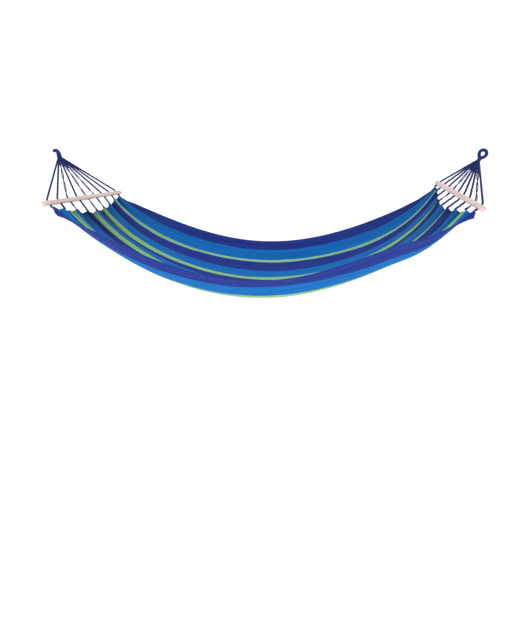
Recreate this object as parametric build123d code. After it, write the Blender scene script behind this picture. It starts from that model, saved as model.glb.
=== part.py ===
from build123d import *

import math
import os

# A hammock hung by a rope eye at each end. Nine clew cords fan out from each eye, run through a
# wooden spreader bar and hold the end of a woven cloth bed. Millimetres, +Z up, +X from the left
# hook to the right one. The origin is where the left hook bears, inside the left eye.

# hooks and eyes
NECK_SPAN = 2214.0
EYE_RADIUS = 20.0
SERVING_DIAMETER = 14.0
CORE_DIAMETER = 8.0
EYE_CENTRE = 40.0
NECK_CLEARANCE = 1.0
LEFT_EYE_LEAN = 62.0
RIGHT_EYE_LEAN = 56.0

# whipping that binds the cords under each eye
WHIPPING_RADIUS = 12.0

# spreader bars: centre measured from the neck, then how far the bar tilts and turns
BAR_LENGTH = 800.0
BAR_DEPTH = 25.0
BAR_WIDTH = 18.0
BAR_ROUNDING = 6.0
LEFT_BAR_OFFSET = (131.0, -205.0)
RIGHT_BAR_OFFSET = (-83.0, -161.0)
LEFT_BAR_TILT = -2.6
RIGHT_BAR_TILT = 2.3
LEFT_BAR_TURN = 1.6
RIGHT_BAR_TURN = -4.5
HOLE_LEAN = 50.0
HOLE_DIAMETER = 11.0

# clew cords
CORDS = 9
CORD_PITCH = 88.9
CORD_DIAMETER = 8.0
CORD_GAP = 0.4
CORD_IN_WHIPPING = 1.0
MOUTH_RISE = 4.0
MOUTH_BEND_RADIUS = 6.0
CORD_IN_HEM = 6.0

# bed cloth: where its ends hang below the bars, the corners that fall past the outermost cords,
# and the trough between the ends
CLOTH_THICKNESS = 3.0
CLOTH_WIDTH = 836.0
END_GAP_CORNER = 20.0
END_GAP_MIDDLE = 85.0
END_FALL = 42.0
CORNER_FOLD = 368.0
CORNER_SOFTNESS = 12.0
CORNER_LEAN = 15.0
CORNER_INWARDS = 0.4
HALF_WIDTH = 338.0
WIDTH_EASE = 0.22
WIDTH_EASE_ROUND = 2.8
RIM_HEIGHT = -530.0
RIM_CURVE = 403.0
RIM_FLATTEN = -72.0
TROUGH_DEPTH = 154.0
TROUGH_END_DEPTH = 105.0
TROUGH_END_ROUND = 5
TROUGH_ROUND = 5.0
TROUGH_LEAN = 0.078
END_BLEND = 118.0
LENGTH_STATIONS = 35
WIDTH_STATIONS = 31


def direction(lean, side):
    """Unit vector in the X-Z plane that leans outwards and up at this angle from level."""
    angle = math.radians(lean)
    return Vector(side * math.cos(angle), 0, math.sin(angle))


BEARING = EYE_CENTRE + EYE_RADIUS - SERVING_DIAMETER / 2
LEFT_NECK = direction(LEFT_EYE_LEAN, -1) * -BEARING
RIGHT_NECK = LEFT_NECK + Vector(NECK_SPAN, 0, 0)
MIDDLE_X = (LEFT_NECK.X + RIGHT_NECK.X) / 2


class End:
    """Places and directions at one end: side is -1 at the left hook and 1 at the right one."""

    def __init__(self, name, side, neck, eye_lean, bar_offset, tilt, turn):
        self.name = name
        self.side = side
        self.neck = neck
        self.eye_axis = direction(eye_lean, side)
        self.bar_centre = neck + Vector(bar_offset[0], 0, bar_offset[1])
        tilt = math.radians(tilt)
        turn = math.radians(turn)
        self.along = Vector(math.sin(turn), math.cos(tilt) * math.cos(turn), math.sin(tilt)).normalized()
        outwards = direction(HOLE_LEAN, side)
        self.hole_axis = (outwards - self.along * outwards.dot(self.along)).normalized()
        self.fall = Vector(-side * math.cos(math.radians(END_FALL)), 0, -math.sin(math.radians(END_FALL)))

    def hole(self, number):
        return self.bar_centre + self.along * ((number - (CORDS - 1) / 2) * CORD_PITCH)

    def cloth_edge(self, across):
        """Point on the cloth's end: across runs from -1 at the near cord to 1 at the far one."""
        gap = END_GAP_CORNER + (END_GAP_MIDDLE - END_GAP_CORNER) * max(0.0, 1 - across**2) ** 1.5
        half = (CORDS - 1) / 2 * CORD_PITCH
        return self.bar_centre + self.along * (across * half) + self.fall * gap

    def held_edge(self, share):
        """Point on the cloth's end: share runs from -1 at the near corner of the cloth to 1 at the far one."""
        flat = abs(share) * CLOTH_WIDTH / 2
        past = CORNER_SOFTNESS * math.log1p(math.exp((flat - CORNER_FOLD) / CORNER_SOFTNESS))
        side = math.copysign(1, share)
        half = (CORDS - 1) / 2 * CORD_PITCH
        held = self.cloth_edge(0.0) if share == 0 else self.cloth_edge(side * (flat - past) / half)
        lean = math.radians(CORNER_LEAN)
        drop = math.sqrt(1 - CORNER_INWARDS**2)
        way = Vector(-self.side * CORNER_INWARDS, side * drop * math.sin(lean), -drop * math.cos(lean))
        return held + way * past


LEFT = End("left", -1, LEFT_NECK, LEFT_EYE_LEAN, LEFT_BAR_OFFSET, LEFT_BAR_TILT, LEFT_BAR_TURN)
RIGHT = End("right", 1, RIGHT_NECK, RIGHT_EYE_LEAN, RIGHT_BAR_OFFSET, RIGHT_BAR_TILT, RIGHT_BAR_TURN)


def hanging_eye(end):
    """The rope loop and the serving round it. The left loop stands across the hammock, the right along it."""
    centre = end.neck + end.eye_axis * EYE_CENTRE
    ring_axis = end.eye_axis.cross(Vector(0, 1, 0)) if end.side < 0 else Vector(0, 1, 0)
    plane = Plane(origin=centre, x_dir=end.eye_axis, z_dir=ring_axis)
    core = plane * Torus(EYE_RADIUS, CORE_DIAMETER / 2)
    serving = plane * Torus(EYE_RADIUS, SERVING_DIAMETER / 2)
    stem_plane = Plane(origin=end.neck, z_dir=end.eye_axis)
    stem = stem_plane * Pos(0, 0, EYE_CENTRE / 4) * Cylinder(SERVING_DIAMETER / 2, EYE_CENTRE / 2)
    serving = serving + stem
    serving = serving - Pos(*end.neck) * Sphere(WHIPPING_RADIUS + NECK_CLEARANCE)
    serving = serving - core
    return core, serving


def neck_whipping(end):
    """The ball of cord that binds the nine clew cords at the pivot under the eye."""
    return Pos(*end.neck) * Sphere(WHIPPING_RADIUS)


def spreader_bar(end):
    plane = Plane(origin=end.bar_centre, x_dir=end.along, z_dir=end.hole_axis)
    bar = Box(BAR_LENGTH, BAR_WIDTH, BAR_DEPTH)
    bar = fillet(bar.edges().filter_by(Axis.X), BAR_ROUNDING)
    bar = chamfer(bar.faces().filter_by(Axis.X).edges(), 2.0)
    for number in range(CORDS):
        place = Pos((number - (CORDS - 1) / 2) * CORD_PITCH, 0, 0)
        bar = bar - place * Cylinder(HOLE_DIAMETER / 2, BAR_DEPTH * 2)
    return plane * bar


def clew_cord(end, number, start_radius, cone_start):
    """One cord: a cone where the cords crowd together under the neck, then a tube to the cloth's end."""
    hole = end.hole(number)
    rise = BAR_DEPTH / 2 + MOUTH_RISE
    above = hole + end.hole_axis * rise
    below = hole - end.hole_axis * rise
    across = (number - (CORDS - 1) / 2) / ((CORDS - 1) / 2)
    edge = end.cloth_edge(across)
    last = edge + (edge - below).normalized() * CORD_IN_HEM
    down = (above - end.neck).normalized()
    first = end.neck + down * cone_start
    path = FilletPolyline(first, above, below, last, radius=[MOUTH_BEND_RADIUS, MOUTH_BEND_RADIUS])
    section = Plane(origin=first, z_dir=down) * Circle(CORD_DIAMETER / 2)
    tube = sweep(section, path=path)
    cone_length = cone_start - start_radius
    tip = CORD_DIAMETER / 2 * start_radius / cone_start
    cone_plane = Plane(origin=end.neck + down * (start_radius + cone_length / 2), z_dir=down)
    tail = cone_plane * Cone(tip, CORD_DIAMETER / 2, cone_length)
    print(end.name, number + 1, "length", round(path.length + cone_start, 1), "volume",
          round(tube.volume / (math.pi * CORD_DIAMETER**2 / 4 * path.length), 4))
    return tube + tail


def cone_starts(end):
    """Distance from the neck at which each cord has room for its full diameter beside its neighbours."""
    rise = BAR_DEPTH / 2 + MOUTH_RISE
    ways = [(end.hole(n) + end.hole_axis * rise - end.neck).normalized() for n in range(CORDS)]
    starts = []
    for n in range(CORDS):
        angles = [ways[n].get_angle(ways[m]) for m in (n - 1, n + 1) if 0 <= m < CORDS]
        closest = math.radians(min(angles))
        starts.append((CORD_DIAMETER + CORD_GAP) / closest)
    return starts


def trough(x, along, across):
    """Place across and height of the cloth where nothing pulls on it: a hanging trough, far side higher."""
    reach = (x - MIDDLE_X) / 1000
    rim = LEFT_NECK.Z + RIM_HEIGHT + RIM_CURVE * reach**2 + RIM_FLATTEN * reach**4
    from_middle = abs(2 * along - 1)
    depth = TROUGH_DEPTH + (TROUGH_END_DEPTH - TROUGH_DEPTH) * from_middle**TROUGH_END_ROUND
    eased = (1 + WIDTH_EASE) * abs(across) - WIDTH_EASE * abs(across) ** WIDTH_EASE_ROUND
    y = HALF_WIDTH * math.copysign(eased, across)
    lean = TROUGH_LEAN * (1 - from_middle**2)
    return y, rim + y * lean - depth * (1 - eased**TROUGH_ROUND)


def cloth_point(along, across):
    """Point on the cloth's middle surface. Its ends are drawn to where the cords hold them."""
    left = LEFT.held_edge(across)
    right = RIGHT.held_edge(across)
    x = left.X + (right.X - left.X) * along
    y, z = trough(x, along, across)
    for held, end_along in ((left, 0.0), (right, 1.0)):
        free_y, free_z = trough(held.X, end_along, across)
        pull = math.exp(-abs(x - held.X) / END_BLEND)
        y += (held.Y - free_y) * pull
        z += (held.Z - free_z) * pull
    return Vector(x, y, z)


def cloth_normal(along, across):
    step = 1e-3
    low = max(0.0, along - step)
    high = min(1.0, along + step)
    near = max(-1.0, across - step)
    far = min(1.0, across + step)
    lengthwise = cloth_point(high, across) - cloth_point(low, across)
    crosswise = cloth_point(along, far) - cloth_point(along, near)
    return lengthwise.cross(crosswise).normalized()


def bed_cloth():
    """A thin closed shell: an upper and a lower face through the same grid, and four edge strips."""
    stations = []
    for i in range(LENGTH_STATIONS):
        share = i / (LENGTH_STATIONS - 1)
        stations.append((1 - math.cos(math.pi * share)) / 2 * 0.6 + share * 0.4)
    widths = [math.sin(math.pi / 2 * (2 * j / (WIDTH_STATIONS - 1) - 1)) * 0.5
              + 0.5 * (2 * j / (WIDTH_STATIONS - 1) - 1) for j in range(WIDTH_STATIONS)]
    layers = []
    for offset in (CLOTH_THICKNESS / 2, -CLOTH_THICKNESS / 2):
        grid = [[cloth_point(u, v) + cloth_normal(u, v) * offset for v in widths] for u in stations]
        layers.append(Face.make_surface_from_array_of_points(grid, tol=0.05, min_deg=3, max_deg=5))
    upper, lower = layers
    corners = [(0.0, -1.0), (1.0, -1.0), (1.0, 1.0), (0.0, 1.0)]
    strips = []
    for n in range(4):
        middle_u = (corners[n][0] + corners[n - 1][0]) / 2
        middle_v = (corners[n][1] + corners[n - 1][1]) / 2
        seek = cloth_point(middle_u, middle_v)
        edges = [face.edges().sort_by_distance(seek)[0] for face in layers]
        strips.append(Face.make_surface_from_curves(*edges))
    shell = Shell([upper, lower, *strips])
    return Solid(shell)


def write(shape, node):
    export_step(shape, f"parts/{node}.step")


os.makedirs("parts", exist_ok=True)
for end in (LEFT, RIGHT):
    core, serving = hanging_eye(end)
    write(core, f"{end.name}_eye_core")
    write(serving, f"{end.name}_eye_serving")
    write(neck_whipping(end), f"{end.name}_neck_whipping")
    write(spreader_bar(end), f"{end.name}_spreader_bar")
    starts = cone_starts(end)
    for number in range(CORDS):
        cord = clew_cord(end, number, WHIPPING_RADIUS - CORD_IN_WHIPPING, starts[number])
        write(cord, f"{end.name}_clew_cord_{number + 1}")
write(bed_cloth(), "bed_cloth")
print("left neck", LEFT_NECK, "right neck", RIGHT_NECK)
print("bar centres", LEFT.bar_centre, RIGHT.bar_centre)
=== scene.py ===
import math

import bpy
import numpy as np
from mathutils import Matrix, Vector


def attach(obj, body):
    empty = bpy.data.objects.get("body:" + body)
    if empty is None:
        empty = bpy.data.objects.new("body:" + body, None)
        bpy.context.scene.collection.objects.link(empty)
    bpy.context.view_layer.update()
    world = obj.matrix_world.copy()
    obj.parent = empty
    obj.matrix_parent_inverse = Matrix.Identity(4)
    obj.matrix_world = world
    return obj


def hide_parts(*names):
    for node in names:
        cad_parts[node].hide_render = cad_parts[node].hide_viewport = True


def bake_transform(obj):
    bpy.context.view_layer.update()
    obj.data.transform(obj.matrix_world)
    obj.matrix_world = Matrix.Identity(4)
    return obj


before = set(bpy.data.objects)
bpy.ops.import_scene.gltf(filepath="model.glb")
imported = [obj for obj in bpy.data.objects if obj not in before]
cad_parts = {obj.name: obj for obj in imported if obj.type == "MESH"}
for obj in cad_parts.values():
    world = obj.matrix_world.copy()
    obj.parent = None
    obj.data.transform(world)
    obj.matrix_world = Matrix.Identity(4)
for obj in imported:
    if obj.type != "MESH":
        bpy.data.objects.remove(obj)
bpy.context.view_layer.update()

# A striped cloth hammock between two served rope eyes. Metres, +Z up, +X from the left hook to the
# right one. The origin is where the left hook bears. Necks, bars, holes and the cloth's trough repeat
# the CAD's values. The eyes, the place where the left cords meet, the cloth's ends and corners and its
# slump by the right end have small shifts of their own.

# eyes and necks
NECK_SPAN = 2.214
EYE_RADIUS = 0.020
EYE_CENTRE = 0.040
SERVING_RADIUS = 0.007
LOOP_ROPE_RADIUS = 0.0082
LEFT_EYE_LEAN = 62.0
LEFT_EYE_TURN = 32.0
LOOP_RADIUS = 0.0165
LEFT_LOOP_CENTRE = 0.048
RIGHT_LOOP_CENTRE = 0.0345
RIGHT_LOOP_LEAN = 64.0
RIGHT_EYE_LEAN = 56.0

# where the clew cords come together, from the neck
LEFT_GATHER = (-0.006, 0, 0.019)
RIGHT_GATHER = (0, 0, 0.004)

# spreader bars
BAR_DEPTH = 0.025
LEFT_BAR_OFFSET = (0.131, -0.205)
RIGHT_BAR_OFFSET = (-0.083, -0.161)
LEFT_BAR_TILT = -2.6
RIGHT_BAR_TILT = 2.3
LEFT_BAR_TURN = 1.6
RIGHT_BAR_TURN = -4.5
HOLE_LEAN = 50.0

# clew cords
CORDS = 9
CORD_PITCH = 0.0889
CORD_DIAMETER = 0.008
MOUTH_RISE = 0.004
CORD_IN_HEM = 0.006
STRAND_PITCH = 0.060

# bed cloth
CLOTH_WIDTH = 0.836
END_GAP_CORNER = 0.020
END_GAP_MIDDLE = 0.085
LEFT_END_FALL = 55.0
RIGHT_END_FALL = 42.0
CORNER_FOLD = 0.364
CORNER_SOFTNESS = 0.012
CORNER_LEAN = 15.0
LEFT_CORNER_INWARDS = 0.62
RIGHT_CORNER_INWARDS = 0.28
LEFT_CORNER_HANG = 1.05
RIGHT_CORNER_HANG = 0.62
HALF_WIDTH = 0.338
WIDTH_EASE = 0.22
WIDTH_EASE_ROUND = 2.8
RIM_HEIGHT = -0.530
RIM_CURVE = 0.403
RIM_FLATTEN = -0.072
TROUGH_DEPTH = 0.154
TROUGH_END_DEPTH = 0.105
TROUGH_END_ROUND = 5
TROUGH_ROUND = 5.0
TROUGH_LEAN = 0.078
END_BLEND = 0.118
SLUMP = 0.026
SLUMP_PLACE = 0.16
SLUMP_RUN = 0.11
SLUMP_FROM = -0.15
SLUMP_EASE = 0.55
CLOTH_THICKNESS = 0.0022
HEM_THICKNESS = 0.0036

# camera
CAMERA_PLACE = (1.6019, -2.562, 0.0902)
CAMERA_YAW = -9.41
CAMERA_PITCH = -20.42
CAMERA_ROLL = -0.45
CAMERA_LENS = 27.71
CAMERA_SENSOR = 36.0
CAMERA_REACH = 200.0

# light and floor
WORLD_STRENGTH = 1.02
BED_MIDDLE = (1.13, 0, -0.55)
FLOOR_HEIGHT = -1.45
FLOOR_REACH = 60.0
FLOOR_WHITE = 0.94
FLOOR_GLOW = 0.22


def lean_direction(lean, side):
    """Unit vector in the X-Z plane that leans outwards and up at this angle from level."""
    angle = math.radians(lean)
    return Vector((side * math.cos(angle), 0, math.sin(angle)))


LEFT_NECK = lean_direction(LEFT_EYE_LEAN, -1) * -(EYE_CENTRE + EYE_RADIUS - SERVING_RADIUS)
RIGHT_NECK = LEFT_NECK + Vector((NECK_SPAN, 0, 0))
MIDDLE_X = (LEFT_NECK.x + RIGHT_NECK.x) / 2
TIE_HALF = (CORDS - 1) / 2 * CORD_PITCH


class End:
    """Places and directions at one end: side is -1 at the left hook and 1 at the right one."""

    def __init__(self, name, side, neck, eye_lean, bar_offset, tilt, turn, corner_inwards, corner_hang,
                 end_fall, gather):
        self.name = name
        self.side = side
        self.neck = neck
        self.eye_axis = lean_direction(eye_lean, side)
        self.bar_centre = neck + Vector((bar_offset[0], 0, bar_offset[1]))
        tilt = math.radians(tilt)
        turn = math.radians(turn)
        along = Vector((math.sin(turn), math.cos(tilt) * math.cos(turn), math.sin(tilt)))
        self.along = along.normalized()
        outwards = lean_direction(HOLE_LEAN, side)
        self.hole_axis = (outwards - self.along * outwards.dot(self.along)).normalized()
        fall = math.radians(end_fall)
        self.corner_hang = corner_hang
        self.fall = Vector((-side * math.cos(fall), 0, -math.sin(fall)))
        self.down = (self.bar_centre - neck).normalized()
        self.corner_inwards = corner_inwards
        self.gather = neck + Vector(gather)

    @staticmethod
    def end_gap(across):
        """How far the cloth's end hangs from the bar. Across is 0 at the middle cord, 1 at an outer one."""
        return END_GAP_CORNER + (END_GAP_MIDDLE - END_GAP_CORNER) * np.clip(1 - across**2, 0, 1) ** 1.5

    def hole(self, number):
        return self.bar_centre + self.along * ((number - (CORDS - 1) / 2) * CORD_PITCH)

    def tie(self, number):
        """Where a cord meets the cloth's end."""
        across = (number - (CORDS - 1) / 2) / ((CORDS - 1) / 2)
        return self.hole(number) + self.fall * float(self.end_gap(across))

    def held_edge(self, flat):
        """The cloth's end, for an array of places across the flat cloth, measured from its middle."""
        past = CORNER_SOFTNESS * np.log1p(np.exp((np.abs(flat) - CORNER_FOLD) / CORNER_SOFTNESS))
        side = np.sign(flat)
        across = (np.abs(flat) - past) / TIE_HALF
        lean = math.radians(CORNER_LEAN)
        points = np.array(self.bar_centre) + np.multiply.outer(side * across * TIE_HALF, np.array(self.along))
        points = points + np.multiply.outer(self.end_gap(across), np.array(self.fall))
        past = past * self.corner_hang
        drop = math.sqrt(1 - self.corner_inwards**2)
        points[..., 0] -= self.side * past * self.corner_inwards
        points[..., 1] += side * past * drop * math.sin(lean)
        points[..., 2] -= past * drop * math.cos(lean)
        return points


LEFT = End("left", -1, LEFT_NECK, LEFT_EYE_LEAN, LEFT_BAR_OFFSET, LEFT_BAR_TILT, LEFT_BAR_TURN,
           LEFT_CORNER_INWARDS, LEFT_CORNER_HANG, LEFT_END_FALL, LEFT_GATHER)
RIGHT = End("right", 1, RIGHT_NECK, RIGHT_EYE_LEAN, RIGHT_BAR_OFFSET, RIGHT_BAR_TILT, RIGHT_BAR_TURN,
            RIGHT_CORNER_INWARDS, RIGHT_CORNER_HANG, RIGHT_END_FALL, RIGHT_GATHER)


# ---------------------------------------------------------------- camera, light and floor

def add_camera():
    yaw = math.radians(CAMERA_YAW)
    pitch = math.radians(CAMERA_PITCH)
    roll = math.radians(CAMERA_ROLL)
    ahead = Vector((math.sin(yaw) * math.cos(pitch), math.cos(yaw) * math.cos(pitch), math.sin(pitch)))
    right = Vector((math.cos(yaw), -math.sin(yaw), 0))
    up = right.cross(ahead)
    turned_right = right * math.cos(roll) + up * math.sin(roll)
    turned_up = up * math.cos(roll) - right * math.sin(roll)
    data = bpy.data.cameras.new("camera")
    data.lens = CAMERA_LENS
    data.sensor_width = CAMERA_SENSOR
    data.sensor_fit = "AUTO"
    data.clip_end = CAMERA_REACH
    camera = bpy.data.objects.new("camera", data)
    bpy.context.scene.collection.objects.link(camera)
    turn = Matrix((turned_right, turned_up, -ahead)).transposed().to_4x4()
    camera.matrix_world = Matrix.Translation(CAMERA_PLACE) @ turn
    bpy.context.scene.camera = camera


def add_area_light(name, place, target, size, power):
    data = bpy.data.lights.new(name, "AREA")
    data.shape = "DISK"
    data.size = size
    data.energy = power
    lamp = bpy.data.objects.new(name, data)
    lamp.location = place
    lamp.rotation_euler = (Vector(target) - Vector(place)).to_track_quat("-Z", "Y").to_euler()
    bpy.context.scene.collection.objects.link(lamp)


def add_studio():
    scene = bpy.context.scene
    scene.view_settings.view_transform = "Standard"
    world = bpy.data.worlds.new("studio")
    scene.world = world
    world.use_nodes = True
    background = world.node_tree.nodes["Background"]
    background.inputs["Color"].default_value = (1.0, 1.0, 1.0, 1)
    background.inputs["Strength"].default_value = WORLD_STRENGTH
    add_area_light("key", (0.2, -3.2, 1.9), BED_MIDDLE, 1.6, 16.0)
    add_area_light("front_fill", (1.6, -3.4, -1.2), BED_MIDDLE, 2.0, 6.0)
    add_area_light("back_fill", (1.2, 3.0, 1.6), BED_MIDDLE, 2.4, 3.0)


def add_floor():
    """White paper under the hammock, lit a little by itself so that it stays white in shadow."""
    material = new_material("floor_paper")
    n = Nodes(material)
    n.set("Base Color", (FLOOR_WHITE, FLOOR_WHITE, FLOOR_WHITE, 1))
    n.set("Roughness", 1.0)
    n.set("Specular IOR Level", 0.0)
    n.set("Emission Color", (1, 1, 1, 1))
    n.set("Emission Strength", FLOOR_GLOW)
    square = ((-1, -1), (1, -1), (1, 1), (-1, 1))
    corners = [(x * FLOOR_REACH, y * FLOOR_REACH, FLOOR_HEIGHT) for x, y in square]
    floor = mesh_object("floor", corners, [(0, 1, 2, 3)], material)


# ---------------------------------------------------------------- materials

def new_material(name):
    material = bpy.data.materials.new(name)
    material.use_nodes = True
    return material


def srgb(red, green, blue):
    """Linear colour from display values of 0 to 255."""
    return tuple(((v / 255 + 0.055) / 1.055) ** 2.4 if v > 10 else v / 255 / 12.92
                 for v in (red, green, blue)) + (1.0,)


class Nodes:
    """Short ways to add and join shader nodes."""

    def __init__(self, material):
        self.tree = material.node_tree
        self.shader = self.tree.nodes["Principled BSDF"]

    def add(self, kind, inputs=None, **settings):
        node = self.tree.nodes.new(kind)
        for key, value in settings.items():
            setattr(node, key, value)
        for key, value in (inputs or {}).items():
            if isinstance(value, bpy.types.NodeSocket):
                self.tree.links.new(value, node.inputs[key])
            else:
                node.inputs[key].default_value = value
        return node

    def math(self, operation, a, b=0.0):
        node = self.add("ShaderNodeMath", {0: a, 1: b}, operation=operation)
        return node.outputs[0]

    def mix(self, factor, a, b, blend="MIX"):
        node = self.add("ShaderNodeMix", data_type="RGBA", blend_type=blend)
        for socket, value in ((node.inputs[0], factor), (node.inputs[6], a), (node.inputs[7], b)):
            if isinstance(value, bpy.types.NodeSocket):
                self.tree.links.new(value, socket)
            else:
                socket.default_value = value
        return node.outputs[2]

    def remap(self, value, low, high, new_low, new_high):
        node = self.add("ShaderNodeMapRange", {0: value, 1: low, 2: high, 3: new_low, 4: new_high})
        return node.outputs[0]

    def ramp(self, factor, stops, interpolation="LINEAR"):
        node = self.add("ShaderNodeValToRGB", {0: factor})
        ramp = node.color_ramp
        ramp.interpolation = interpolation
        ramp.elements[0].position = stops[0][0]
        ramp.elements[0].color = stops[0][1]
        ramp.elements[1].position = stops[1][0]
        ramp.elements[1].color = stops[1][1]
        for place, colour in stops[2:]:
            ramp.elements.new(place).color = colour
        return node.outputs[0]

    def noise(self, vector, scale, detail=2.0, rough=0.5):
        node = self.add("ShaderNodeTexNoise", {"Vector": vector, "Scale": scale, "Detail": detail,
                                               "Roughness": rough})
        return node.outputs[0]

    def stretch(self, vector, scale):
        node = self.add("ShaderNodeMapping", {"Vector": vector, "Scale": scale})
        return node.outputs[0]

    def bump(self, height, strength, distance, normal=None):
        inputs = {"Height": height, "Strength": strength, "Distance": distance}
        if normal is not None:
            inputs["Normal"] = normal
        return self.add("ShaderNodeBump", inputs).outputs[0]

    def set(self, name, value):
        if isinstance(value, bpy.types.NodeSocket):
            self.tree.links.new(value, self.shader.inputs[name])
        else:
            self.shader.inputs[name].default_value = value


NAVY = srgb(36, 54, 144)
BLUE = srgb(5, 114, 194)
GREEN = srgb(150, 208, 116)
MINT = srgb(172, 224, 186)
TEAL = srgb(6, 84, 132)
STITCH = srgb(58, 76, 160)

# stripes from the near selvage to the far one: colour and width on the flat cloth
STRIPES = [(NAVY, 0.042), (BLUE, 0.076), (GREEN, 0.034), (BLUE, 0.080), (NAVY, 0.078), (GREEN, 0.036),
           (BLUE, 0.076), (NAVY, 0.076), (GREEN, 0.040), (BLUE, 0.090), (NAVY, 0.083), (GREEN, 0.016),
           (BLUE, 0.061), (NAVY, 0.048)]
MINT_EDGE = 0.0035

# threads of the cloth
STITCH_INSET = 0.0095
STITCH_HALF_WIDTH = 0.0006
STITCH_PITCH = 0.0052
WARP_PITCH = 0.0016
WEFT_PITCH = 0.0021
# painted shade in the cloth's folds, between its cords and over the inside near its ends: the dark colour it
# goes to, and how far
FOLD_SHADE_COLOUR = (0.004, 0.010, 0.030, 1)
FOLD_SHADE_STRENGTH = 0.93


def cloth_material():
    """Warp-striped cotton. The map's U is the place across the flat cloth and V along it, in metres."""
    material = new_material("striped_cotton")
    n = Nodes(material)
    place = n.add("ShaderNodeUVMap", uv_map="cloth").outputs[0]
    parts = n.add("ShaderNodeSeparateXYZ", {0: place})
    across, along = parts.outputs[0], parts.outputs[1]
    wander = n.noise(n.stretch(place, (60, 9, 1)), 1.0, 1.0)
    shifted = n.math("ADD", across, n.remap(wander, 0.3, 0.7, -0.0012, 0.0012))
    total = sum(width for _, width in STRIPES)
    stops = []
    edge = 0.0
    for colour, width in STRIPES:
        if colour is GREEN:
            stops.append((edge / total, MINT))
            stops.append(((edge + MINT_EDGE) / total, GREEN))
            stops.append(((edge + width - MINT_EDGE) / total, MINT))
        else:
            stops.append((edge / total, colour))
        edge += width
    stripe = n.ramp(n.math("DIVIDE", shifted, CLOTH_WIDTH), stops, "CONSTANT")
    # yarns differ a little from one to the next, and each has lighter and darker runs
    yarns = n.noise(n.stretch(place, (420, 5, 1)), 1.0, 3.0, 0.7)
    runs = n.noise(n.stretch(place, (66, 2.0, 1)), 1.0, 3.0, 0.6)
    lighter = n.mix(n.remap(yarns, 0.35, 0.75, 0.0, 0.05), stripe, (0.50, 0.70, 0.90, 1))
    darker = n.mix(n.remap(runs, 0.42, 0.72, 0.0, 0.62), lighter, (0.42, 0.52, 0.70, 1), "MULTIPLY")
    cool = n.mix(n.remap(runs, 0.25, 0.45, 0.16, 0.0), darker, TEAL)
    # dashes of thread along the hems
    from_selvage = n.math("MINIMUM", across, n.math("SUBTRACT", CLOTH_WIDTH, across))
    line = n.math("LESS_THAN", n.math("ABSOLUTE", n.math("SUBTRACT", from_selvage, STITCH_INSET)),
                  STITCH_HALF_WIDTH)
    beat = n.math("SINE", n.math("MULTIPLY", along, 2 * math.pi / STITCH_PITCH))
    dash = n.math("GREATER_THAN", beat, -0.35)
    stitched = n.mix(n.math("MULTIPLY", line, dash), cool, STITCH)
    # painted shade: the cloth's colour goes towards a near-black navy where the mesh's fold_shade attribute
    # is high
    painted_shade = n.add("ShaderNodeAttribute", attribute_name="fold_shade").outputs["Fac"]
    n.set("Base Color", n.mix(n.math("MULTIPLY", painted_shade, FOLD_SHADE_STRENGTH), stitched, FOLD_SHADE_COLOUR))
    warp = n.math("SINE", n.math("MULTIPLY", across, 2 * math.pi / WARP_PITCH))
    weft = n.math("SINE", n.math("MULTIPLY", along, 2 * math.pi / WEFT_PITCH))
    weave = n.math("MULTIPLY", warp, weft)
    height = n.math("ADD", weave, n.math("MULTIPLY", yarns, 1.6))
    crease = n.noise(n.stretch(place, (46, 16, 1)), 1.0, 4.0, 0.6)
    soft = n.bump(crease, 0.55, 0.004)
    n.set("Normal", n.bump(height, 0.35, 0.0005, soft))
    n.set("Roughness", n.remap(yarns, 0.2, 0.8, 0.72, 0.92))
    n.set("Sheen Weight", 0.02)
    n.set("Sheen Roughness", 0.5)
    n.set("Specular IOR Level", 0.06)
    return material


def cord_material(name, dark, light, slant):
    """Plied cord. The map's U runs round the strand and V along it in metres."""
    material = new_material(name)
    n = Nodes(material)
    place = n.add("ShaderNodeUVMap", uv_map="cord").outputs[0]
    parts = n.add("ShaderNodeSeparateXYZ", {0: place})
    around, along = parts.outputs[0], parts.outputs[1]
    twist = n.math("ADD", n.math("MULTIPLY", around, 3.0), n.math("DIVIDE", along, slant))
    ply = n.math("SINE", n.math("MULTIPLY", twist, 2 * math.pi))
    fibre = n.noise(n.stretch(place, (30, 900, 1)), 1.0, 3.0, 0.7)
    patch = n.noise(n.stretch(place, (1.0, 22, 1)), 1.0, 2.0)
    # the colour follows the plies and is darker in the grooves between them: painted shade; the fibre noise
    # adds colour that differs at random
    tone = n.math("ADD", n.remap(ply, -1, 1, 0.0, 0.5), n.remap(fibre, 0.3, 0.7, 0.0, 0.5))
    base = n.mix(tone, dark, light)
    n.set("Base Color", n.mix(n.remap(patch, 0.35, 0.65, 0.0, 0.35), base, (0.45, 0.45, 0.55, 1), "MULTIPLY"))
    n.set("Normal", n.bump(n.math("ADD", ply, n.math("MULTIPLY", fibre, 0.7)), 0.7, 0.0006))
    n.set("Roughness", n.remap(fibre, 0.3, 0.7, 0.62, 0.85))
    n.set("Sheen Weight", 0.03)
    n.set("Specular IOR Level", 0.15)
    return material


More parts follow.
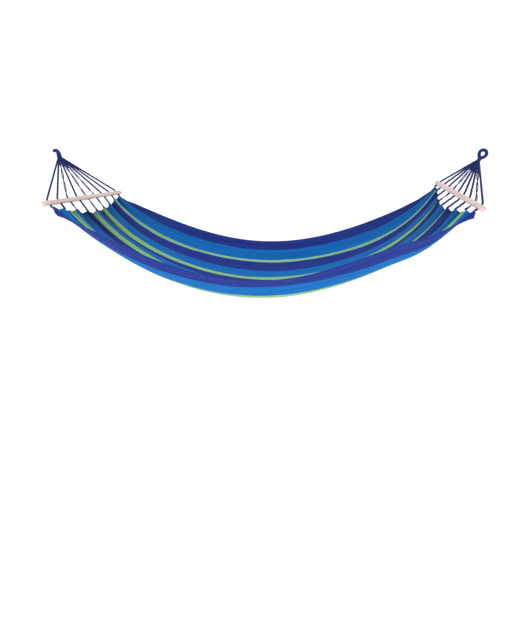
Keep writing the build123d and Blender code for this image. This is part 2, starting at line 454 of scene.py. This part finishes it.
def wood_material():
    """Pale sanded beech, with its grain along the bar."""
    material = new_material("pale_wood")
    n = Nodes(material)
    place = n.add("ShaderNodeTexCoord").outputs["Object"]
    rings = n.noise(n.stretch(place, (95, 4.5, 120)), 1.0, 3.0, 0.6)
    flecks = n.noise(n.stretch(place, (700, 60, 700)), 1.0, 2.0, 0.6)
    broad = n.noise(n.stretch(place, (12, 2.2, 12)), 1.0, 1.0)
    tones = [(0.25, srgb(192, 168, 162)), (0.5, srgb(218, 197, 192)), (0.78, srgb(232, 216, 212))]
    grain = n.ramp(rings, tones)
    flecked = n.mix(n.remap(flecks, 0.58, 0.72, 0.0, 0.45), grain, srgb(158, 126, 118))
    n.set("Base Color", n.mix(n.remap(broad, 0.35, 0.65, 0.0, 0.25), flecked, srgb(196, 168, 162)))
    n.set("Normal", n.bump(n.math("ADD", rings, n.math("MULTIPLY", flecks, 0.5)), 0.3, 0.0006))
    n.set("Roughness", n.remap(rings, 0.3, 0.7, 0.48, 0.66))
    return material


# ---------------------------------------------------------------- meshes

def mesh_object(name, points, faces, material, uv=None, uv_name="cord"):
    mesh = bpy.data.meshes.new(name)
    mesh.from_pydata([tuple(p) for p in points], [], faces)
    if uv is not None:
        layer = mesh.uv_layers.new(name=uv_name)
        layer.data.foreach_set("uv", np.asarray(uv, np.float32).ravel())
    mesh.polygons.foreach_set("use_smooth", [True] * len(mesh.polygons))
    mesh.materials.append(material)
    mesh.update()
    thing = bpy.data.objects.new(name, mesh)
    bpy.context.scene.collection.objects.link(thing)
    return thing


def line_frames(points):
    """Tangents and two steady cross directions along a line."""
    tangents = np.gradient(points, axis=0)
    tangents /= np.linalg.norm(tangents, axis=1)[:, None]
    seed = np.array([0.0, 1.0, 0.0]) if abs(tangents[0][1]) < 0.8 else np.array([1.0, 0.0, 0.0])
    first = []
    cross = seed
    for tangent in tangents:
        cross = cross - tangent * np.dot(cross, tangent)
        cross = cross / np.linalg.norm(cross)
        first.append(cross)
    first = np.array(first)
    return tangents, first, np.cross(tangents, first)


def run_lengths(points):
    """How far along the line each point is."""
    return np.concatenate([[0], np.cumsum(np.linalg.norm(np.diff(points, axis=0), axis=1))])


def even_line(points, step):
    """The same line with points a steady step apart."""
    points = np.asarray(points, float)
    runs = run_lengths(points)
    count = max(4, int(round(runs[-1] / step)) + 1)
    wanted = np.linspace(0, runs[-1], count)
    return np.stack([np.interp(wanted, runs, points[:, k]) for k in range(3)], axis=1)


class Tubes:
    """Gathers closed tubes into one mesh, with a map that runs round and along each."""

    def __init__(self):
        self.points = []
        self.faces = []
        self.uv = []

    def add(self, line, radius, segments):
        line = np.asarray(line, float)
        count = len(line)
        radius = np.broadcast_to(np.asarray(radius, float), (count,))
        _, first, second = line_frames(line)
        angles = np.linspace(0, 2 * math.pi, segments, endpoint=False)
        ring = (np.cos(angles)[None, :, None] * first[:, None, :]
                + np.sin(angles)[None, :, None] * second[:, None, :])
        rings = line[:, None, :] + ring * radius[:, None, None]
        start = len(self.points)
        self.points.extend(rings.reshape(-1, 3).tolist())
        lengths = run_lengths(line)
        for i in range(count - 1):
            for j in range(segments):
                k = (j + 1) % segments
                a = start + i * segments + j
                b = start + i * segments + k
                self.faces.append((a, b, b + segments, a + segments))
                u0, u1 = j / segments, (j + 1) / segments
                v0, v1 = lengths[i], lengths[i + 1]
                self.uv.extend([(u0, v0), (u1, v0), (u1, v1), (u0, v1)])
        for row, order in ((0, -1), (count - 1, 1)):
            middle = len(self.points)
            self.points.append(line[row].tolist())
            for j in range(segments):
                k = (j + 1) % segments
                a = start + row * segments + j
                b = start + row * segments + k
                self.faces.append((a, b, middle) if order > 0 else (b, a, middle))
                self.uv.extend([(j / segments, lengths[row])] * 3)

    def build(self, name, material):
        return mesh_object(name, self.points, self.faces, material, self.uv)


def route_line(control, step):
    """Points along the smooth line of a route, read from its NURBS spline."""
    data = bpy.data.curves.new("route", "CURVE")
    data.dimensions = "3D"
    data.resolution_u = 24
    spline = data.splines.new("NURBS")
    spline.points.add(len(control) - 1)
    for point, place in zip(spline.points, control):
        point.co = (*place, 1.0)
    spline.order_u = 3
    spline.use_endpoint_u = True
    holder = bpy.data.objects.new("route", data)
    bpy.context.scene.collection.objects.link(holder)
    bpy.context.view_layer.update()
    mesh = bpy.data.meshes.new_from_object(holder)
    points = np.array([v.co[:] for v in mesh.vertices])
    bpy.data.objects.remove(holder)
    bpy.data.meshes.remove(mesh)
    bpy.data.curves.remove(data)
    return even_line(points, step)


# ---------------------------------------------------------------- clew cords

def cord_route(end, number):
    """The cord's route from the neck through its hole to the cloth. Long runs get a point near the bar."""
    hole = end.hole(number)
    rise = end.hole_axis * (BAR_DEPTH / 2 + MOUTH_RISE)
    above = hole + rise
    below = hole - rise
    tie = end.tie(number)
    last = tie + (tie - below).normalized() * CORD_IN_HEM
    through = (above - below).length
    route = [end.gather, above + (end.gather - above).normalized() * through, above, below]
    if (last - below).length > 2 * through:
        route.append(below + (last - below).normalized() * through)
    route.append(last)
    return route


# cords of two strands that lie apart with slits between them, where the rest have three: side of the
# end, and cord number from 0
LOOSE_CORDS = [(-1, 2), (-1, 4), (-1, 5), (1, 5), (1, 1)]
CORD_STEP = 0.003
CROWD_RUN = 0.05
CROWD_SIZE = 0.55
CROWD_LAYER = 0.0035

# the hitch that binds each cord to the cloth's hem
HITCH_START = 0.001
HITCH_SPAN = 0.009
HITCH_TURNS = 3.2
HITCH_STEPS = 52
HITCH_RADIUS = 0.0044
HITCH_TWINE_RADIUS = 0.0014


def add_hitch(tubes, length, centre, first, second):
    """Turns of twine round the cord, close to its far end."""
    along = length[-1] - HITCH_START - HITCH_SPAN * np.linspace(0, 1, HITCH_STEPS)
    places = np.stack([np.interp(along, length, centre[:, k]) for k in range(3)], axis=1)
    one = np.stack([np.interp(along, length, first[:, k]) for k in range(3)], axis=1)
    two = np.stack([np.interp(along, length, second[:, k]) for k in range(3)], axis=1)
    angle = 2 * math.pi * HITCH_TURNS * np.linspace(0, 1, HITCH_STEPS)
    places = places + HITCH_RADIUS * (np.cos(angle)[:, None] * one + np.sin(angle)[:, None] * two)
    tubes.add(places, HITCH_TWINE_RADIUS, 8)


def add_clew_cord(end, number, material):
    route = cord_route(end, number)
    line = route_line(route, CORD_STEP)
    length = run_lengths(line)
    _, first, second = line_frames(line)
    tubes = Tubes()
    # the strands thin out where nine cords crowd under the neck
    crowd = np.clip(length / CROWD_RUN, 0.0, 1.0)
    size = CROWD_SIZE + (1 - CROWD_SIZE) * crowd
    layer = (CROWD_LAYER if number % 2 else -CROWD_LAYER) * (1 - crowd)
    fan_normal = np.array(end.along.cross(end.down))
    centre = line + layer[:, None] * fan_normal[None, :]
    phase = number * 1.3 + (0.7 if end.side > 0 else 0.0)
    loose = (end.side, number) in LOOSE_CORDS
    strands = 2 if loose else 3
    strand = CORD_DIAMETER * (0.32 if loose else 0.33)
    spread = strand * (1.3 if loose else 1.04)
    pitch = STRAND_PITCH * (3.0 if loose else 1.0)
    for turn in range(strands):
        angle = 2 * math.pi * (length / pitch + turn / strands) + phase
        offset = (np.cos(angle)[:, None] * first + np.sin(angle)[:, None] * second)
        tubes.add(centre + offset * (spread * size)[:, None], strand * size, 8)
    add_hitch(tubes, length, centre, first, second)
    cord = tubes.build(f"{end.name}_rope_{number + 1}", material)
    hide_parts(f"{end.name}_clew_cord_{number + 1}")
    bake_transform(cord)


# the turns round the neck
COIL_TURNS = 5
COIL_FROM = -0.009
COIL_TO = 0.006
COIL_HALF_WIDTH = 0.0105
COIL_HALF_DEPTH = 0.0072
LASHING_RADIUS = 0.0019

# rows woven through the cords: the first and last cord of each, counted down from the neck
LASHING_ROWS = [(0, 8)] * 2 + [(1, 7)] * 2 + [(2, 6)] * 4 + [(3, 5)] * 5 + [(4, 5)] * 3
RIGHT_LASHING_ROWS = 12
FIRST_ROW = 0.014
ROW_PITCH = 0.004
ROW_WEAVE = 0.0034
ROW_OVERHANG = 0.12


def add_lashing(end, material):
    """The turns that bind the cords at the neck, and the rows woven through them below it."""
    tubes = Tubes()
    axis = np.array(end.eye_axis)
    width = np.array((0.0, 1.0, 0.0))
    depth = np.cross(axis, width)
    angle = np.linspace(0, 2 * math.pi * COIL_TURNS, 40 * COIL_TURNS)
    rise = np.linspace(COIL_FROM, COIL_TO, len(angle))
    swell = 1.0 + 0.08 * np.cos(np.linspace(-1.6, 1.6, len(angle)))
    coil = (np.array(end.neck) + rise[:, None] * axis
            + (COIL_HALF_WIDTH * swell * np.cos(angle))[:, None] * width
            + (COIL_HALF_DEPTH * swell * np.sin(angle))[:, None] * depth)
    tubes.add(coil, LASHING_RADIUS, 8)
    ways = []
    for number in range(CORDS):
        above = end.hole(number) + end.hole_axis * (BAR_DEPTH / 2 + MOUTH_RISE)
        ways.append((above - end.gather).normalized())
    middle = ways[(CORDS - 1) // 2]
    normal = end.along.cross(end.down)
    rows = LASHING_ROWS[:RIGHT_LASHING_ROWS] if end.side > 0 else LASHING_ROWS
    for row, (low, high) in enumerate(rows):
        reach = FIRST_ROW + ROW_PITCH * row
        control = []
        for number in range(low, high + 1):
            way = ways[number]
            side = 1 if (number + row) % 2 else -1
            control.append(end.gather + way * (reach / way.dot(middle)) + normal * (side * ROW_WEAVE))
        before = control[0] + (control[0] - control[1]) * ROW_OVERHANG
        after = control[-1] + (control[-1] - control[-2]) * ROW_OVERHANG
        tubes.add(route_line([before, *control, after], 0.0015), LASHING_RADIUS, 8)
    lashing = tubes.build(f"{end.name}_neck_lashing", material)
    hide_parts(f"{end.name}_neck_whipping")
    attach(lashing, "sling")


# ---------------------------------------------------------------- hanging eyes

# the left eye's line, up from its neck: where it starts and stops bending, and its slopes there
FLOP_BEGIN = 0.038
FLOP_STOP = 0.062
FLOP_FIRST_SLOPE = 98.0
FLOP_LAST_SLOPE = 200.0

EYE_STEP = 0.00055
SERVING_PITCH = 0.0024
SERVING_RIDGE = 0.0006
CORE_STEP = 0.002
CORE_TWIST = 0.03
CORE_SPREAD = 0.0021
CORE_STRAND_RADIUS = 0.0019


def eye_control(centre):
    """Control points of the eye's line: distance up its axis, across its plane, and out of the plane."""
    outer = LOOP_RADIUS / math.cos(math.radians(20.0))
    throat = centre - LOOP_RADIUS - 0.003
    points = [(-0.009, -0.0030, 0.0050), (0.004, -0.0030, 0.0058), (throat, 0.0050, 0.0050)]
    for angle in range(140, -141, -40):
        turn = math.radians(angle)
        points.append((centre + outer * math.cos(turn), outer * math.sin(turn), 0.003 * angle / 140))
    points += [(throat, -0.0050, -0.0050), (0.004, 0.0030, -0.0058), (-0.009, 0.0030, -0.0050)]
    return points


def upright_place(end, up, across, out):
    """The right eye stands in the plane of its lean, seen face on."""
    axis = lean_direction(RIGHT_LOOP_LEAN, end.side)
    side = axis.cross(Vector((0, 1, 0)))
    return end.neck + axis * up + side * across + Vector((0, 1, 0)) * out


def flopped_place(end, up, across, out):
    """The left eye stands across the hammock, edge on to the camera, and its top flops over outwards."""
    first = math.radians(FLOP_FIRST_SLOPE)
    last = math.radians(FLOP_LAST_SLOPE)
    bend = (FLOP_STOP - FLOP_BEGIN) / (last - first)
    x = math.cos(first) * min(up, FLOP_BEGIN)
    z = math.sin(first) * min(up, FLOP_BEGIN)
    heading = first
    if up > FLOP_BEGIN:
        heading = first + (min(up, FLOP_STOP) - FLOP_BEGIN) / bend
        x += bend * (math.sin(heading) - math.sin(first))
        z -= bend * (math.cos(heading) - math.cos(first))
    if up > FLOP_STOP:
        x += math.cos(last) * (up - FLOP_STOP)
        z += math.sin(last) * (up - FLOP_STOP)
    turn = math.radians(LEFT_EYE_TURN)
    level = Vector((math.cos(turn), math.sin(turn), 0))
    flat = Vector((-level.y, level.x, 0))
    normal = level * math.sin(heading) - Vector((0, 0, math.cos(heading)))
    return end.neck + level * x + Vector((0, 0, z)) + flat * across + normal * out


def add_eye(end, centre, place, serving, core):
    line = route_line([Vector(p) for p in eye_control(centre)], EYE_STEP)
    line = np.array([place(end, *p)[:] for p in line])
    length = run_lengths(line)
    ridge = np.abs(np.sin(math.pi * length / SERVING_PITCH))
    served = Tubes()
    served.add(line, LOOP_ROPE_RADIUS - SERVING_RIDGE + SERVING_RIDGE * ridge, 18)
    cover = served.build(f"{end.name}_served_loop", serving)
    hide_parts(f"{end.name}_eye_serving")
    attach(cover, "hanging_eyes")
    strands = Tubes()
    inner = even_line(line, CORE_STEP)
    run = np.linspace(0, length[-1], len(inner))
    _, first, second = line_frames(inner)
    for number in range(3):
        angle = 2 * math.pi * (run / CORE_TWIST + number / 3)
        offset = np.cos(angle)[:, None] * first + np.sin(angle)[:, None] * second
        strands.add(inner + offset * CORE_SPREAD, CORE_STRAND_RADIUS, 7)
    rope = strands.build(f"{end.name}_loop_strands", core)
    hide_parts(f"{end.name}_eye_core")
    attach(rope, "hanging_eyes")


# ---------------------------------------------------------------- bed cloth

def trough(x, along, across):
    reach = x - MIDDLE_X
    rim = LEFT_NECK.z + RIM_HEIGHT + RIM_CURVE * reach**2 + RIM_FLATTEN * reach**4
    from_middle = np.abs(2 * along - 1)
    depth = TROUGH_DEPTH + (TROUGH_END_DEPTH - TROUGH_DEPTH) * from_middle**TROUGH_END_ROUND
    share = np.abs(across)
    eased = (1 + WIDTH_EASE) * share - WIDTH_EASE * share**WIDTH_EASE_ROUND
    y = HALF_WIDTH * np.sign(across) * eased
    lean = TROUGH_LEAN * (1 - from_middle**2)
    return y, rim + y * lean - depth * (1 - eased**TROUGH_ROUND)


def smooth_cloth(along, across):
    """The cloth's middle surface without its pleats, with the near wall slumped by the right end."""
    flat = across * CLOTH_WIDTH / 2
    left = LEFT.held_edge(flat)
    right = RIGHT.held_edge(flat)
    x = left[..., 0] + (right[..., 0] - left[..., 0]) * along
    y, z = trough(x, along, across)
    for held, end_along in ((left, 0.0), (right, 1.0)):
        free_y, free_z = trough(held[..., 0], np.full_like(along, end_along), across)
        pull = np.exp(-np.abs(x - held[..., 0]) / END_BLEND)
        y = y + (held[..., 1] - free_y) * pull
        z = z + (held[..., 2] - free_z) * pull
    from_tie = right[..., 0] - x
    near_side = np.clip((SLUMP_FROM - across) / SLUMP_EASE, 0, 1)
    eased_side = near_side**2 * (3 - 2 * near_side)
    z = z - SLUMP * eased_side * np.exp(-(((from_tie - SLUMP_PLACE) / SLUMP_RUN) ** 2))
    return np.stack([x, y, z], axis=-1)


def surface_normals(points):
    lengthwise = np.gradient(points, axis=0)
    crosswise = np.gradient(points, axis=1)
    normals = np.cross(lengthwise, crosswise)
    return normals / np.linalg.norm(normals, axis=-1)[..., None]


def tie_waves(flat):
    """How far between two cords each place across is: 0 at a cord, 1 half-way to the next."""
    order = (flat + TIE_HALF) / CORD_PITCH
    inside = (order > 0) & (order < CORDS - 1)
    return np.where(inside, 0.5 - 0.5 * np.cos(2 * math.pi * order), 0.0), order


# folds that run in from the ends: end, place in cord spacings, depth, half-width, run, darkness of the shade
# painted into the fold
FOLDS = [(-1, 3.02, 0.004, 0.0150, 0.19, 1.0), (-1, 2.30, 0.008, 0.0090, 0.14, 0.55),
         (-1, 4.66, 0.008, 0.0100, 0.20, 0.50), (-1, 6.35, 0.012, 0.0140, 0.22, 0.50),
         (-1, 7.60, 0.008, 0.0080, 0.12, 0.40), (-1, 1.20, 0.008, 0.0080, 0.12, 0.40),
         (1, 3.40, 0.008, 0.0100, 0.18, 0.70), (1, 4.60, 0.012, 0.0120, 0.20, 0.55),
         (1, 5.60, 0.012, 0.0110, 0.20, 0.50), (1, 2.25, 0.008, 0.0090, 0.14, 0.40),
         (1, 6.70, 0.010, 0.0100, 0.16, 0.40), (1, 1.45, 0.007, 0.0080, 0.10, 0.30)]

# between two cords the cloth falls back in a pleat and its end is scalloped
PLEAT_DEPTH = 0.009
PLEAT_RUN = 0.10
SCALLOP_DEPTH = 0.010
SCALLOP_RUN = 0.055

# small creases at the ends: height, how many to a cord spacing, run, phase
CREASES = [(0.0036, 3, 0.12, 0.6), (0.0016, 4.4, 0.07, 1.1)]

# shade between the cords, and over the inside of the bed towards its ends
CORD_GAP_SHADE = 0.45
CORD_GAP_SHADE_RUN = 0.05
INNER_SHADE = 0.34
INNER_SHADE_FROM = -0.27
INNER_SHADE_EASE = 0.06
INNER_SHADE_RUN = 0.42

# long shallow folds over the whole bed: height, wavelength across, wavelength along, wander
RIPPLES = [(0.0020, 0.118, 0.90, 0.9), (0.0014, 0.071, 0.62, 0.8), (0.0009, 0.043, 0.41, 0.7),
           (0.0026, 0.210, 1.30, 0.6)]


def pleats(flat, from_left, from_right):
    """Pleats and folds along the cloth's normal, how far scallops cut into its two ends, and the shade
    painted into the cloth's colour.
    """
    waves, order = tie_waves(flat)
    rise = np.zeros_like(flat)
    scallop = []
    for distance, side in ((from_left, -1), (from_right, 1)):
        rise -= PLEAT_DEPTH * waves * np.exp(-distance / PLEAT_RUN)
        for height, rate, run, phase in CREASES:
            rise += height * np.cos(2 * math.pi * rate * order + phase * side) * np.exp(-distance / run)
        scallop.append(SCALLOP_DEPTH * waves**0.8 * np.exp(-distance / SCALLOP_RUN))
        for where, place, depth, half, run, _ in FOLDS:
            if where == side:
                shape = np.exp(-(((order - place) * CORD_PITCH) / half) ** 2)
                rise -= depth * shape * np.exp(-((distance / run) ** 2))
    for number, (height, wide, long, wander) in enumerate(RIPPLES):
        sway = wander * np.sin(2 * math.pi * from_left / long + number * 1.9)
        swell = 0.65 + 0.35 * np.sin(2 * math.pi * from_left / (long * 1.7) + number)
        rise += height * swell * np.sin(2 * math.pi * flat / wide + sway + number * 2.3)
    # painted shade for the cloth's colour: between the cords, over the inside of the bed near its ends, and
    # in the folds
    painted_shade = np.zeros_like(flat)
    for distance, side in ((from_left, -1), (from_right, 1)):
        painted_shade += CORD_GAP_SHADE * waves * np.exp(-distance / CORD_GAP_SHADE_RUN)
        inside = np.clip((flat - INNER_SHADE_FROM) / INNER_SHADE_EASE, 0, 1)
        painted_shade += INNER_SHADE * inside * np.exp(-((distance / INNER_SHADE_RUN) ** 2))
        for where, place, _, half, run, darkness in FOLDS:
            if where == side:
                shape = np.exp(-(((order - place) * CORD_PITCH) / half) ** 4)
                painted_shade += darkness * shape * np.exp(-((distance / run) ** 4))
    return rise, scallop, np.clip(painted_shade, 0, 1)


# the cloth is bunched unevenly on its cords: edges of stripes across the flat cloth, and where each of
# them is held at the two ends
STRIPE_PLACES = (0.0, 0.042, 0.118, 0.152, 0.310, 0.346, 0.498, 0.538, 0.711, 0.727, 0.836)
LEFT_HELD = (0.0, 0.080, 0.176, 0.220, 0.366, 0.406, 0.468, 0.522, 0.676, 0.704, 0.836)
RIGHT_HELD = (0.0, 0.080, 0.142, 0.190, 0.325, 0.358, 0.502, 0.545, 0.678, 0.704, 0.836)
GATHER_RUN = 0.72


def gathered_place(place, from_left, from_right):
    """Place on the flat cloth for a place across the hung one."""
    at_left = np.interp(place, LEFT_HELD, STRIPE_PLACES) - place
    at_right = np.interp(place, RIGHT_HELD, STRIPE_PLACES) - place
    return (place + at_left * np.exp(-((from_left / GATHER_RUN) ** 4))
            + at_right * np.exp(-((from_right / GATHER_RUN) ** 4)))


LENGTH_CELLS = 152
WIDTH_CELLS = 240
EVEN_SHARE = 0.72
HEM_WIDTH = 0.012


def cloth_grid(low, high):
    """Middle surface, thickness and flat places for the stretch of cloth between two shares of its length."""
    share = np.linspace(0, 1, 2 * LENGTH_CELLS + 1)
    packed = share * EVEN_SHARE + (1 - EVEN_SHARE) * (1 - np.cos(math.pi * share)) / 2
    chosen = (share >= low - 1e-9) & (share <= high + 1e-9)
    along, across = np.meshgrid(packed, np.linspace(-1, 1, WIDTH_CELLS + 1), indexing="ij")
    base = smooth_cloth(along, across)
    steps = np.linalg.norm(np.diff(base, axis=0), axis=-1)
    from_left = np.concatenate([np.zeros((1, base.shape[1])), np.cumsum(steps, axis=0)])
    from_right = from_left[-1] - from_left
    flat = across * CLOTH_WIDTH / 2
    rise, (left_cut, right_cut), painted_shade = pleats(flat, from_left, from_right)
    lengthwise = np.gradient(base, axis=0)
    lengthwise /= np.linalg.norm(lengthwise, axis=-1)[..., None]
    surface = base + surface_normals(base) * rise[..., None]
    surface = surface + lengthwise * (left_cut - right_cut)[..., None]
    edge = np.minimum(CLOTH_WIDTH / 2 - np.abs(flat), np.minimum(from_left, from_right))
    thickness = np.where(edge < HEM_WIDTH, HEM_THICKNESS, CLOTH_THICKNESS)
    places = np.stack([gathered_place(flat + CLOTH_WIDTH / 2, from_left, from_right), from_left], axis=-1)
    normals = surface_normals(surface)
    return surface[chosen], normals[chosen], thickness[chosen], places[chosen], painted_shade[chosen]


def add_cloth(name, low, high, material):
    surface, normals, thickness, places, painted_shade = cloth_grid(low, high)
    rows, columns = surface.shape[:2]
    layers = [surface + normals * (sign * thickness / 2)[..., None] for sign in (1, -1)]
    points = np.concatenate([layer.reshape(-1, 3) for layer in layers])
    under = rows * columns
    faces = []
    for i in range(rows - 1):
        for j in range(columns - 1):
            a = i * columns + j
            quad = (a, a + columns, a + columns + 1, a + 1)
            faces.append(quad)
            faces.append(tuple(under + v for v in reversed(quad)))
    border = ([i * columns for i in range(rows)]
              + [(rows - 1) * columns + j for j in range(1, columns)]
              + [i * columns + columns - 1 for i in range(rows - 2, -1, -1)]
              + [j for j in range(columns - 2, 0, -1)])
    for a, b in zip(border, border[1:] + border[:1]):
        faces.append((b, a, under + a, under + b))
    flat_places = places.reshape(-1, 2)
    flat_places = np.concatenate([flat_places, flat_places])
    uv = flat_places[np.array(faces).ravel()]
    cloth = mesh_object(name, points, faces, material, uv, "cloth")
    mesh = cloth.data
    shade = mesh.attributes.new("fold_shade", "FLOAT", "POINT")
    shade.data.foreach_set("value", np.concatenate([painted_shade.ravel(), painted_shade.ravel()]).astype(np.float32))
    sides = set(border) | set(under + v for v in border)
    sharp = mesh.attributes.new("sharp_edge", "BOOLEAN", "EDGE")
    ends = np.empty(len(mesh.edges) * 2, np.int64)
    mesh.edges.foreach_get("vertices", ends)
    ends = ends.reshape(-1, 2)
    on_side = np.isin(ends, list(sides)).all(axis=1)
    sharp.data.foreach_set("value", on_side)
    return cloth


def add_bed(material):
    """One sheet in two meshes that meet in the middle, so that each end can follow its own bar."""
    for end, low, high in ((LEFT, 0.0, 0.5), (RIGHT, 0.5, 1.0)):
        cloth = add_cloth(f"bed_cloth_{end.name}", low, high, material)
        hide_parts("bed_cloth")
        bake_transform(cloth)


# ---------------------------------------------------------------- the whole scene

add_camera()
add_studio()
add_floor()
clew = cord_material("navy_cord", srgb(22, 30, 92), srgb(40, 54, 134), 0.011)
lash = cord_material("lashing_cord", srgb(18, 25, 72), srgb(36, 46, 108), 0.009)
served = cord_material("serving_twine", srgb(24, 34, 98), srgb(44, 60, 140), 0.0072)
for end in (LEFT, RIGHT):
    for number in range(CORDS):
        add_clew_cord(end, number, clew)
    add_lashing(end, lash)
add_eye(LEFT, LEFT_LOOP_CENTRE, flopped_place, served, clew)
add_eye(RIGHT, RIGHT_LOOP_CENTRE, upright_place, served, clew)
wood = wood_material()
for end in (LEFT, RIGHT):
    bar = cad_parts[f"{end.name}_spreader_bar"]
    bar.data.materials.clear()
    bar.data.materials.append(wood)
add_bed(cloth_material())
